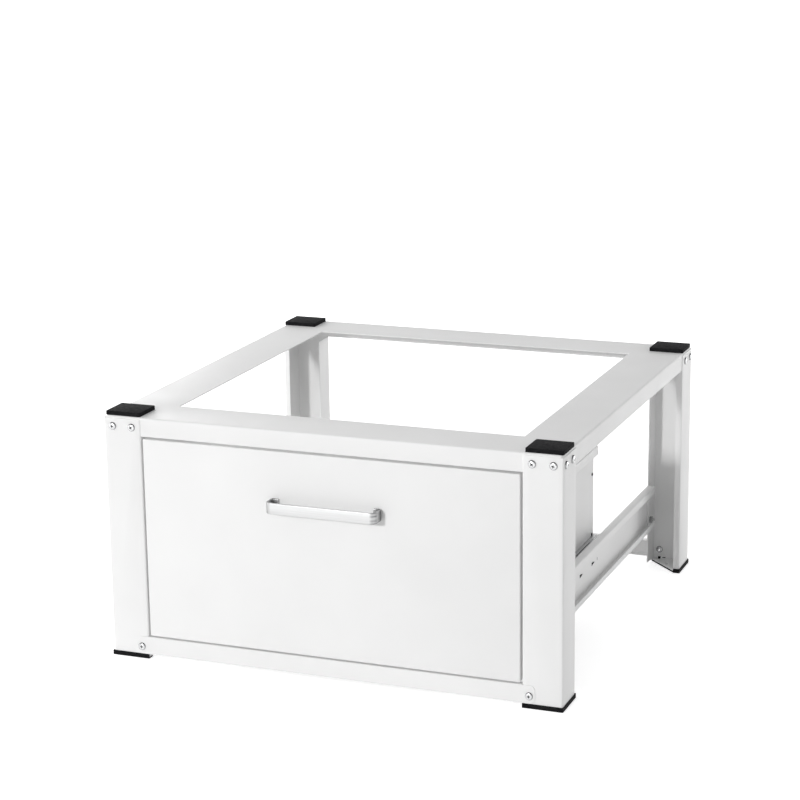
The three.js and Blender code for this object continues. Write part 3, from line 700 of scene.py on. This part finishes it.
def with_painted_shade(mesh):
    """A bmesh of the screw with painted shade in its recess. The dome stays bright."""
    bm = bmesh.new()
    bm.from_mesh(mesh)
    bmesh.ops.dissolve_degenerate(bm, dist=0.002 * MM, edges=bm.edges)
    layer = bm.verts.layers.float.new("painted_shade")
    for vert in bm.verts:
        out = math.hypot(vert.co.x, vert.co.y)
        # Painted shade in the recess.
        vert[layer] = 1.0 if out < DARK_WITHIN and DARK_ABOVE < vert.co.z < DARK_BELOW else 0.0
    return bm


def shade_rim(bm, seat, axis):
    """Paints a dark reflection on the rim of a seated head, darkest on its upper side."""
    layer = bm.verts.layers.float["painted_shade"]
    for vert in bm.verts:
        offset = vert.co - seat
        offset[axis] = 0
        if offset.length > RIM_FROM:
            vert[layer] = RIM_SHADE + (1 - RIM_SHADE) * max(0.0, offset.normalized().z)


SHANK = 7.5 * MM
screw_mesh = cross_cut(as_object(spun(thread_profile(SHANK) + head_profile(SCREW_HEAD_R, SCREW_HEAD)), "screw"))
print("screw", len(screw_mesh.polygons), "faces")

# %% [markdown]
# ## Setting the screws
#
# Each screw's solid says where its head is and which way it faces, so nothing is measured twice. The recesses were
# driven home by hand and each stopped at its own angle, so every screw is turned by a different amount.

# %% Place the screws
FACING = {
    "front": Matrix.Rotation(math.radians(90), 4, "X"),
    "rear": Matrix.Rotation(math.radians(-90), 4, "X"),
    "left": Matrix.Rotation(math.radians(-90), 4, "Y"),
    "right": Matrix.Rotation(math.radians(90), 4, "Y"),
}
OUTWARD = {"front": (1, -1), "rear": (1, 1), "left": (0, -1), "right": (0, 1)}
SCREW_TWIST = 37.0


def seat_of(node, facing, head):
    """The point under the head, on its axis."""
    low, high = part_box(node)
    seat = (low + high) / 2
    axis, sign = OUTWARD[facing]
    seat[axis] = (high if sign > 0 else low)[axis] - sign * head
    return seat


def facing_of(name):
    """The side that a stand screw faces, from its name."""
    _, end, side, kind = name.split("_")[:4]
    return end if kind in ("face", "cross") else side


stand_screws = sorted(n for n in solids if n.startswith("screw_"))
head_screws = [n for n in stand_screws if not n.endswith("_rail")]
for count, name in enumerate(head_screws):
    facing = facing_of(name)
    bm = with_painted_shade(screw_mesh)
    twist = Matrix.Rotation(math.radians(SCREW_TWIST * count), 4, "Z")
    seat = seat_of(name, facing, SCREW_HEAD)
    bmesh.ops.transform(bm, matrix=Matrix.Translation(seat) @ FACING[facing] @ twist, verts=bm.verts)
    # Painted dark reflection on the rim, darkest on its upper side.
    shade_rim(bm, seat, OUTWARD[facing][0])
    finished(bm, name + ".plated", "stand", "zinc_screw", zinc, name)
print(len(head_screws), "screws set")

# %% Handle screws, from inside the drawer front
HANDLE_SCREW_R = 2.0 * MM
HANDLE_HEAD_R = 4.0 * MM
HANDLE_HEAD = 2.4 * MM
HANDLE_GRIP = 4.5 * MM
for side in ("left", "right"):
    name = "handle_screw_" + side
    profile = [(0, -HANDLE_GRIP), (HANDLE_SCREW_R, -HANDLE_GRIP), (HANDLE_SCREW_R, 0)]
    bm = spun(profile + head_profile(HANDLE_HEAD_R, HANDLE_HEAD))
    seat = seat_of(name, "rear", HANDLE_HEAD)
    bmesh.ops.transform(bm, matrix=Matrix.Translation(seat) @ FACING["rear"], verts=bm.verts)
    finished(bm, name + ".plated", "drawer", "zinc_screw", zinc, name)
print("handle screws set")

# %% [markdown]
# ## Threaded inserts
#
# Thin sheet can't hold a thread, so behind each through screw sits a pressed-in insert: a flange against the
# sheet and a short barrel round the screw's tip. They are what shows inside the legs. The ring is spun from a
# closed outline that stays clear of the axis. The side rails' screws come the other way and end in a hexagon nut,
# with some thread standing out beyond it.

# %% Inserts
INSERT_HOLE = SCREW_R + 0.15 * MM
INSERT_BARREL = 4.4 * MM
INSERT_FLANGE = 5.6 * MM
INSERT_HEIGHT = 3.6 * MM
FLANGE_HEIGHT = 0.9 * MM
BARREL_START = 1.26 * MM
HOLE_EDGE = 1.1 * INSERT_HOLE
FLANGE_RIM = 0.98 * INSERT_FLANGE
INSERT_SHADE = 0.1
TWO_SHEETS = 3.0 * MM


def ring_spun(profile):
    """A ring from a closed outline beside the axis."""
    bm = bmesh.new()
    points = [bm.verts.new((r, 0, z)) for r, z in profile]
    edges = [bm.edges.new((a, b)) for a, b in zip(points, points[1:] + points[:1])]
    bmesh.ops.spin(bm, geom=points + edges, cent=(0, 0, 0), axis=(0, 0, 1), angle=2 * math.pi, steps=RING_STEPS,
                   use_merge=True)
    bmesh.ops.remove_doubles(bm, verts=bm.verts, dist=0.001 * MM)
    bmesh.ops.recalc_face_normals(bm, faces=bm.faces)
    return bm


for name in head_screws:
    facing = facing_of(name)
    bm = ring_spun([
        (INSERT_HOLE, 0), (INSERT_FLANGE, 0), (INSERT_FLANGE, -FLANGE_HEIGHT), (INSERT_BARREL, -BARREL_START),
        (INSERT_BARREL, -INSERT_HEIGHT), (INSERT_HOLE, -INSERT_HEIGHT)])
    # Painted shade: dark at the hole's edge and the flange's rim, a little over the rest.
    layer = bm.verts.layers.float.new("painted_shade")
    for vert in bm.verts:
        out = math.hypot(vert.co.x, vert.co.y)
        vert[layer] = 1.0 if out < HOLE_EDGE or out > FLANGE_RIM else INSERT_SHADE
    under = Matrix.Translation((0, 0, -TWO_SHEETS))
    seat = seat_of(name, facing, SCREW_HEAD)
    bmesh.ops.transform(bm, matrix=Matrix.Translation(seat) @ FACING[facing] @ under, verts=bm.verts)
    finished(bm, name.replace("screw_", "insert_"), "stand", "zinc_screw", zinc)
print(len(head_screws), "inserts pressed in")

# %% [markdown]
# ## Nuts
#
# A nut is a circle of six points pushed up, with the edge round its top chamfered. The thread end is spun by
# itself, and the two meshes are put together before the piece is stored.

# %% Nuts of the side rails' screws
NUT_R = 5.6 * MM
NUT_HEIGHT = 4.6 * MM
NUT_CHAMFER = 0.5 * MM
NUT_CORNER = 0.98 * NUT_R
CORNER_SHADE = 0.5
NUT_SHADE = 0.05
THREAD_OUT = 7.6 * MM
FLUSH_SHANK = 2.7 * MM


def absorb(bm, other):
    """Adds a second bmesh to the first, and frees it."""
    mesh = bpy.data.meshes.new("absorbed")
    other.to_mesh(mesh)
    other.free()
    bm.from_mesh(mesh)
    bpy.data.meshes.remove(mesh)


for name in [n for n in stand_screws if n.endswith("_rail")]:
    facing = facing_of(name)
    end = [(0, -FLUSH_SHANK), (SCREW_R, -FLUSH_SHANK)]
    for ring in range(int(THREAD_OUT / THREAD_PITCH)):
        end += [(SCREW_R, ring * THREAD_PITCH), (SCREW_R - THREAD_DEPTH, (ring + 0.5) * THREAD_PITCH)]
    bm = spun(end + [(SCREW_R - THREAD_DEPTH, THREAD_OUT), (0, THREAD_OUT)], SMALL_STEPS)
    nut = bmesh.new()
    bmesh.ops.create_circle(nut, cap_ends=True, radius=NUT_R, segments=6)
    nut_face = run(nut, nut.faces[:][0], Vector((0, 0, NUT_HEIGHT)))
    bmesh.ops.recalc_face_normals(nut, faces=nut.faces)
    round_edges(nut, nut_face.edges[:], NUT_CHAMFER, 1)
    absorb(bm, nut)
    # Painted shade: half dark at the corners, a little over the rest.
    layer = bm.verts.layers.float.new("painted_shade")
    for vert in bm.verts:
        out = math.hypot(vert.co.x, vert.co.y)
        vert[layer] = CORNER_SHADE if out > NUT_CORNER else NUT_SHADE
    seat = seat_of(name, facing, SCREW_HEAD)
    bmesh.ops.transform(bm, matrix=Matrix.Translation(seat) @ FACING[facing], verts=bm.verts)
    finished(bm, name + ".nut", "stand", "zinc_screw", zinc, name)
print("nuts", round(2 * NUT_R / MM, 1), "mm across")

# %% [markdown]
# ## Ball slides
#
# Between the three members of a slide run rows of steel balls, kept apart by a thin cage. The solids carry the
# rows as plain tracks on the middle member. Here that member is a clean channel: a cube, opened on one side and at
# both ends, bevelled along its folds and given its gauge by a Solidify modifier. The balls and cages are real. A
# ball is an icosphere of few faces, since there are over a hundred.

# %% Middle members
SLIDE_GAUGE = 1.6 * MM
SLIDE_FOLD = 2.2 * MM
BALL_ROOM = 4.0 * MM


def channel_core():
    """The two corners of the right middle channel, without its ball rows."""
    low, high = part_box("slide_right_middle_member")
    return low + Vector((0, 0, BALL_ROOM)), high - Vector((0, 0, BALL_ROOM))


def to_side(bm, side):
    """Turns a piece made at the right over to its side."""
    if side == "left":
        bmesh.ops.scale(bm, vec=(-1, 1, 1), verts=bm.verts)
        bmesh.ops.reverse_faces(bm, faces=bm.faces)


for side in ("left", "right"):
    low, high = channel_core()
    bm = box_bmesh(low, high)
    open_faces = [f for f in bm.faces if abs(f.normal.y) > 0.9 or f.normal.x < -0.9]
    bmesh.ops.delete(bm, geom=open_faces, context="FACES")
    round_edges(bm, [e for e in bm.edges if len(e.link_faces) == 2], SLIDE_FOLD, 3)
    to_side(bm, side)
    name = f"slide_{side}_middle_member"
    channel = finished(bm, name + ".channel", "slide_middle_" + side, "slide_steel", slide_steel, name)
    gauge = channel.modifiers.new("gauge", "SOLIDIFY")
    gauge.thickness = SLIDE_GAUGE
    gauge.offset = -1
print("middle channel", [round(v / MM, 1) for v in high - low], "mm")

# %% Cages and balls
BALL_R = 2.0 * MM
BALL_PITCH = 14.0 * MM
BALLS_IN_ROW = 13
CAGE_THICK = 0.6 * MM
CAGE_WIDTH = 3.0 * MM
OUTER_ROW = 2.0 * MM
INNER_ROW = -3.6 * MM
ROW_FROM_OUTSIDE = 9.5 * MM


def ball_rows():
    """Heights of the four rows, outside and inside the channel's flanges."""
    low, high = channel_core()
    return [high.z + OUTER_ROW, high.z + INNER_ROW, low.z - INNER_ROW, low.z - OUTER_ROW]


low, high = channel_core()
row_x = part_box("slide_right_rail_member")[1].x - ROW_FROM_OUTSIDE
row_y = (low.y + high.y) / 2
row_reach = BALL_PITCH * BALLS_IN_ROW / 2
for side in ("left", "right"):
    balls = bmesh.new()
    cages = bmesh.new()
    for z in ball_rows():
        centre = Vector((row_x, row_y, z))
        size = (CAGE_THICK, 2 * row_reach, CAGE_WIDTH)
        bmesh.ops.create_cube(cages, size=1, matrix=Matrix.Translation(centre) @ Matrix.Diagonal((*size, 1)))
        for count in range(BALLS_IN_ROW):
            at = centre + Vector((0, (count + 0.5) * BALL_PITCH - row_reach, 0))
            bmesh.ops.create_icosphere(balls, subdivisions=2, radius=BALL_R, matrix=Matrix.Translation(at))
    for bm, name, finish in ((balls, "balls", zinc), (cages, "cages", slide_steel)):
        to_side(bm, side)
        finished(bm, f"slide_{side}_{name}", "slide_middle_" + side, "slide_steel", finish)
rows = 2 * len(ball_rows())
print(rows * BALLS_IN_ROW, "balls in", rows, "rows")

# %% [markdown]
# ## Ledges
#
# Over each drawer member a narrow ledge of slide steel stands out from the drawer and ends just short of the outer
# member's lip. It is an L in section, so its outline is drawn once at the front and pushed to the rear.

# %% Ledges above the drawer members
LEDGE_SHEET = 1.0 * MM
LEDGE_FOOT = 0.4 * MM

member_low, member_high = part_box("slide_right_drawer_member")
foot_z = member_high.z + LEDGE_FOOT
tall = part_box("slide_right_rail_member")[1].z - foot_z
under = tall - LEDGE_SHEET
ledge_outline = [
    (0, 0), (LEDGE_SHEET, 0), (LEDGE_SHEET, under), (LEDGE_REACH, under), (LEDGE_REACH, tall), (0, tall)]
for side in ("left", "right"):
    bm = bmesh.new()
    face = bm.faces.new([bm.verts.new((wall_x + x, member_low.y, foot_z + z)) for x, z in ledge_outline])
    run(bm, face, Vector((0, member_high.y - member_low.y, 0)))
    bmesh.ops.recalc_face_normals(bm, faces=bm.faces)
    to_side(bm, side)
    finished(bm, f"slide_{side}_ledge", "drawer", "slide_steel", slide_steel)
print("ledges", round(LEDGE_REACH / MM, 1), "mm wide")

# %% [markdown]
# ## Small dark fittings
#
# Two kinds of fitting read as dark specks at the side of the stand: the tongues with which each slide catches in
# the holes of its side rail, and the rivets that hold the drawer's end walls. Both are near black, and on the
# tongues that colour is painted shade, for the shadow inside the rail's holes and under the hammered points. A
# tongue is a few
# vertices, extruded: it fills its hole, and its point is hammered flat on the outside of the rail. A rivet is half
# an outline, spun.

# %% Tongues in the side rails
# Near black for tongues and rivets; on the tongues it is painted shade, for the shadow in the rail's holes.
NEAR_BLACK = (0.005, 0.005, 0.006)
NEAR_BLACK_GREY = (0.014, 0.014, 0.015)
near_black_and_shade, tree, shader = new_material("near black and painted shade", Specular_IOR_Level=0.1)
place = object_vector(tree)
fleck = place_group(tree, speckle, place, Scale=700.0, Low=0.0, High=1.0)
two_tone(tree, fleck, shader, NEAR_BLACK, NEAR_BLACK_GREY)
tree.links.new(place_group(tree, speckle, place, Scale=900.0, Low=0.55, High=0.75), shader.inputs["Roughness"])

RAIL_SHEET = 1.5 * MM
TONGUE_THICK = 1.35 * MM
TONGUE_CLEAR = 0.15 * MM
POINT_THICK = 0.4 * MM
POINT_BACK = 5 * MM
POINT_LENGTH = 14.5 * MM
POINT_HEIGHT = 5 * MM
PUNCHES = (-71 * MM, -8 * MM)
PUNCH_LENGTH = 7 * MM
PUNCH_HEIGHT = 6 * MM
SLOT_AT = 17 * MM
SLOT_WIDTH = 2 * MM
SLOT_HEIGHT = 5 * MM

rail_low, rail_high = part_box("side_rail_right")
rail_middle = (rail_low + rail_high) / 2
slide_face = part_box("slide_right_rail_member")[1].x
half = PUNCH_HEIGHT / 2 - TONGUE_CLEAR
triangles = [[(y + TONGUE_CLEAR, -half), (y + PUNCH_LENGTH - 2 * TONGUE_CLEAR, 0), (y + TONGUE_CLEAR, half)]
             for y in PUNCHES]
half = SLOT_HEIGHT / 2 - TONGUE_CLEAR
across = SLOT_WIDTH / 2 - TONGUE_CLEAR
slot_plug = [
    (SLOT_AT - across, -half), (SLOT_AT + across, -half), (SLOT_AT + across, half), (SLOT_AT - across, half)]
half = POINT_HEIGHT / 2
points = [[(y - POINT_BACK, -half), (y - POINT_BACK + POINT_LENGTH, 0), (y - POINT_BACK, half)] for y in PUNCHES]
layers = [(slide_face, TONGUE_THICK, outline) for outline in (*triangles, slot_plug)]
layers += [(slide_face + RAIL_SHEET, POINT_THICK, outline) for outline in points]
for side in ("left", "right"):
    bm = bmesh.new()
    for x, thick, outline in layers:
        face = bm.faces.new([bm.verts.new((x, rail_middle.y + y, rail_middle.z + z)) for y, z in outline])
        run(bm, face, Vector((thick, 0, 0)))
    bmesh.ops.recalc_face_normals(bm, faces=bm.faces)
    to_side(bm, side)
    finished(bm, f"slide_{side}_tongues", "stand", "slide_steel", near_black_and_shade)
print("tongues at", [round(y / MM) for y in PUNCHES], "mm")

# %% Rivets on the drawer's sides
RIVET_R = 2.6 * MM
RIVET_HEIGHT = 1.1 * MM
RIVET_INSET = 8.0 * MM
RIVET_LEVELS = (132 * MM, 230 * MM)

side_low, side_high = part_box("drawer_side_right")
for side in ("left", "right"):
    bm = bmesh.new()
    for y in (side_low.y + RIVET_INSET, side_high.y - RIVET_INSET):
        for z in RIVET_LEVELS:
            one = spun([(0, 0), (RIVET_R, 0), (RIVET_R, 0.3 * RIVET_HEIGHT), (0.7 * RIVET_R, 0.85 * RIVET_HEIGHT),
                        (0, RIVET_HEIGHT)], SMALL_STEPS)
            seat = Matrix.Translation((wall_x, y, z)) @ FACING["right"]
            bmesh.ops.transform(one, matrix=seat, verts=one.verts)
            absorb(bm, one)
    to_side(bm, side)
    finished(bm, f"drawer_side_{side}_rivets", "drawer", "zinc_screw", near_black_and_shade)
print("rivets", len(RIVET_LEVELS) * 4)

# %% [markdown]
# ## Floor and light
#
# The stand is shown on a plain white ground. The floor is a big pale sheet that still takes the stand's soft
# shadow. For the camera, and for reflections, a glow is added so that it reads as white, and it grows with the
# distance, because the lamps leave the far floor dim. A key lamp at the front left, a good way off, makes the
# front the brightest side and throws the shadows inside the legs. Five wide, weak panels hang round and over the
# stand, each set so that one side of it gets the tone it should have, and the sky fills the rest.

# %% Floor
FLOOR_SIZE = 40.0
FLOOR_GLOW = 0.60
FLOOR_NEAR = 0.6
FLOOR_FAR = 2.4
floor_paint = bpy.data.materials.new("studio floor")
floor_paint.use_nodes = True
tree = floor_paint.node_tree
tree.nodes.clear()
output = tree.nodes.new("ShaderNodeOutputMaterial")
matt = add_node(tree, "ShaderNodeBsdfDiffuse", Color=(0.95, 0.95, 0.95, 1))
glow = add_node(tree, "ShaderNodeEmission", Color=(1, 1, 1, 1))
both = tree.nodes.new("ShaderNodeAddShader")
path = tree.nodes.new("ShaderNodeLightPath")
seen = add_node(tree, "ShaderNodeMath", {"operation": "ADD", "use_clamp": True})
level = add_node(tree, "ShaderNodeMath", {"operation": "MULTIPLY"})
away = add_node(tree, "ShaderNodeVectorMath", {"operation": "LENGTH"})
growth = add_node(
    tree, "ShaderNodeMapRange", From_Min=FLOOR_NEAR, From_Max=FLOOR_FAR, To_Min=FLOOR_GLOW, To_Max=1.0)
tree.links.new(object_vector(tree), away.inputs[0])
tree.links.new(away.outputs["Value"], growth.inputs["Value"])
tree.links.new(growth.outputs["Result"], level.inputs[1])
tree.links.new(path.outputs["Is Camera Ray"], seen.inputs[0])
tree.links.new(path.outputs["Is Glossy Ray"], seen.inputs[1])
tree.links.new(seen.outputs["Value"], level.inputs[0])
tree.links.new(level.outputs["Value"], glow.inputs["Strength"])
tree.links.new(matt.outputs["BSDF"], both.inputs[0])
tree.links.new(glow.outputs["Emission"], both.inputs[1])
tree.links.new(both.outputs["Shader"], output.inputs["Surface"])

bm = bmesh.new()
bmesh.ops.create_grid(bm, x_segments=1, y_segments=1, size=FLOOR_SIZE / 2)
floor = as_object(bm, "floor")
floor.data.materials.append(floor_paint)
print("floor", FLOOR_SIZE, "m")

# %% Sky
SKY_LEVEL = 0.37
world = bpy.data.worlds.new("studio")
bpy.context.scene.world = world
world.use_nodes = True
tree = world.node_tree
tree.nodes.clear()
output = tree.nodes.new("ShaderNodeOutputWorld")
sky = add_node(tree, "ShaderNodeBackground", Color=(1, 1, 1, 1), Strength=SKY_LEVEL)
white = add_node(tree, "ShaderNodeBackground", Color=(1, 1, 1, 1), Strength=1.0)
choose = tree.nodes.new("ShaderNodeMixShader")
path = tree.nodes.new("ShaderNodeLightPath")
seen = add_node(tree, "ShaderNodeMath", {"operation": "ADD", "use_clamp": True})
clear = add_node(tree, "ShaderNodeMath", {"operation": "ADD", "use_clamp": True})
tree.links.new(path.outputs["Is Camera Ray"], seen.inputs[0])
tree.links.new(path.outputs["Is Glossy Ray"], seen.inputs[1])
tree.links.new(seen.outputs["Value"], clear.inputs[0])
tree.links.new(path.outputs["Is Transmission Ray"], clear.inputs[1])
tree.links.new(clear.outputs["Value"], choose.inputs["Fac"])
tree.links.new(sky.outputs["Background"], choose.inputs[1])
tree.links.new(white.outputs["Background"], choose.inputs[2])
tree.links.new(choose.outputs["Shader"], output.inputs["Surface"])


# %% Lamp
def soft_lamp(name, place, aim, size, watts):
    """A square lamp turned to a point."""
    data = bpy.data.lights.new(name, "AREA")
    data.shape = "SQUARE"
    data.size = size
    data.energy = watts
    lamp = bpy.data.objects.new(name, data)
    lamp.location = place
    lamp.rotation_mode = "QUATERNION"
    lamp.rotation_quaternion = (Vector(aim) - Vector(place)).to_track_quat("-Z", "Y")
    bpy.context.scene.collection.objects.link(lamp)
    return lamp


CENTRE = (0.0, 0.0, 0.2)
LAMPS = {
    "key lamp": {"place": (-1.81, -7.38, 2.73), "size": 0.7, "watts": 248},
    "left panel": {"place": (-3.0, -0.3, 1.0), "size": 1.6, "watts": 35},
    "left rear panel": {"place": (-2.4, 2.2, 0.9), "size": 1.6, "watts": 17},
    "right rear panel": {"place": (2.6, 2.2, 0.7), "size": 1.6, "watts": 28},
    "top panel": {"place": (0.0, 0.2, 3.4), "size": 2.0, "watts": 8},
    "front panel": {"place": (0.6, -4.0, 0.6), "size": 1.8, "watts": 4},
}
for name, lamp in LAMPS.items():
    soft_lamp(name, aim=CENTRE, **lamp)
print(len(LAMPS), "lamps placed")

# %% Finish
bpy.context.scene.view_settings.view_transform = "Standard"
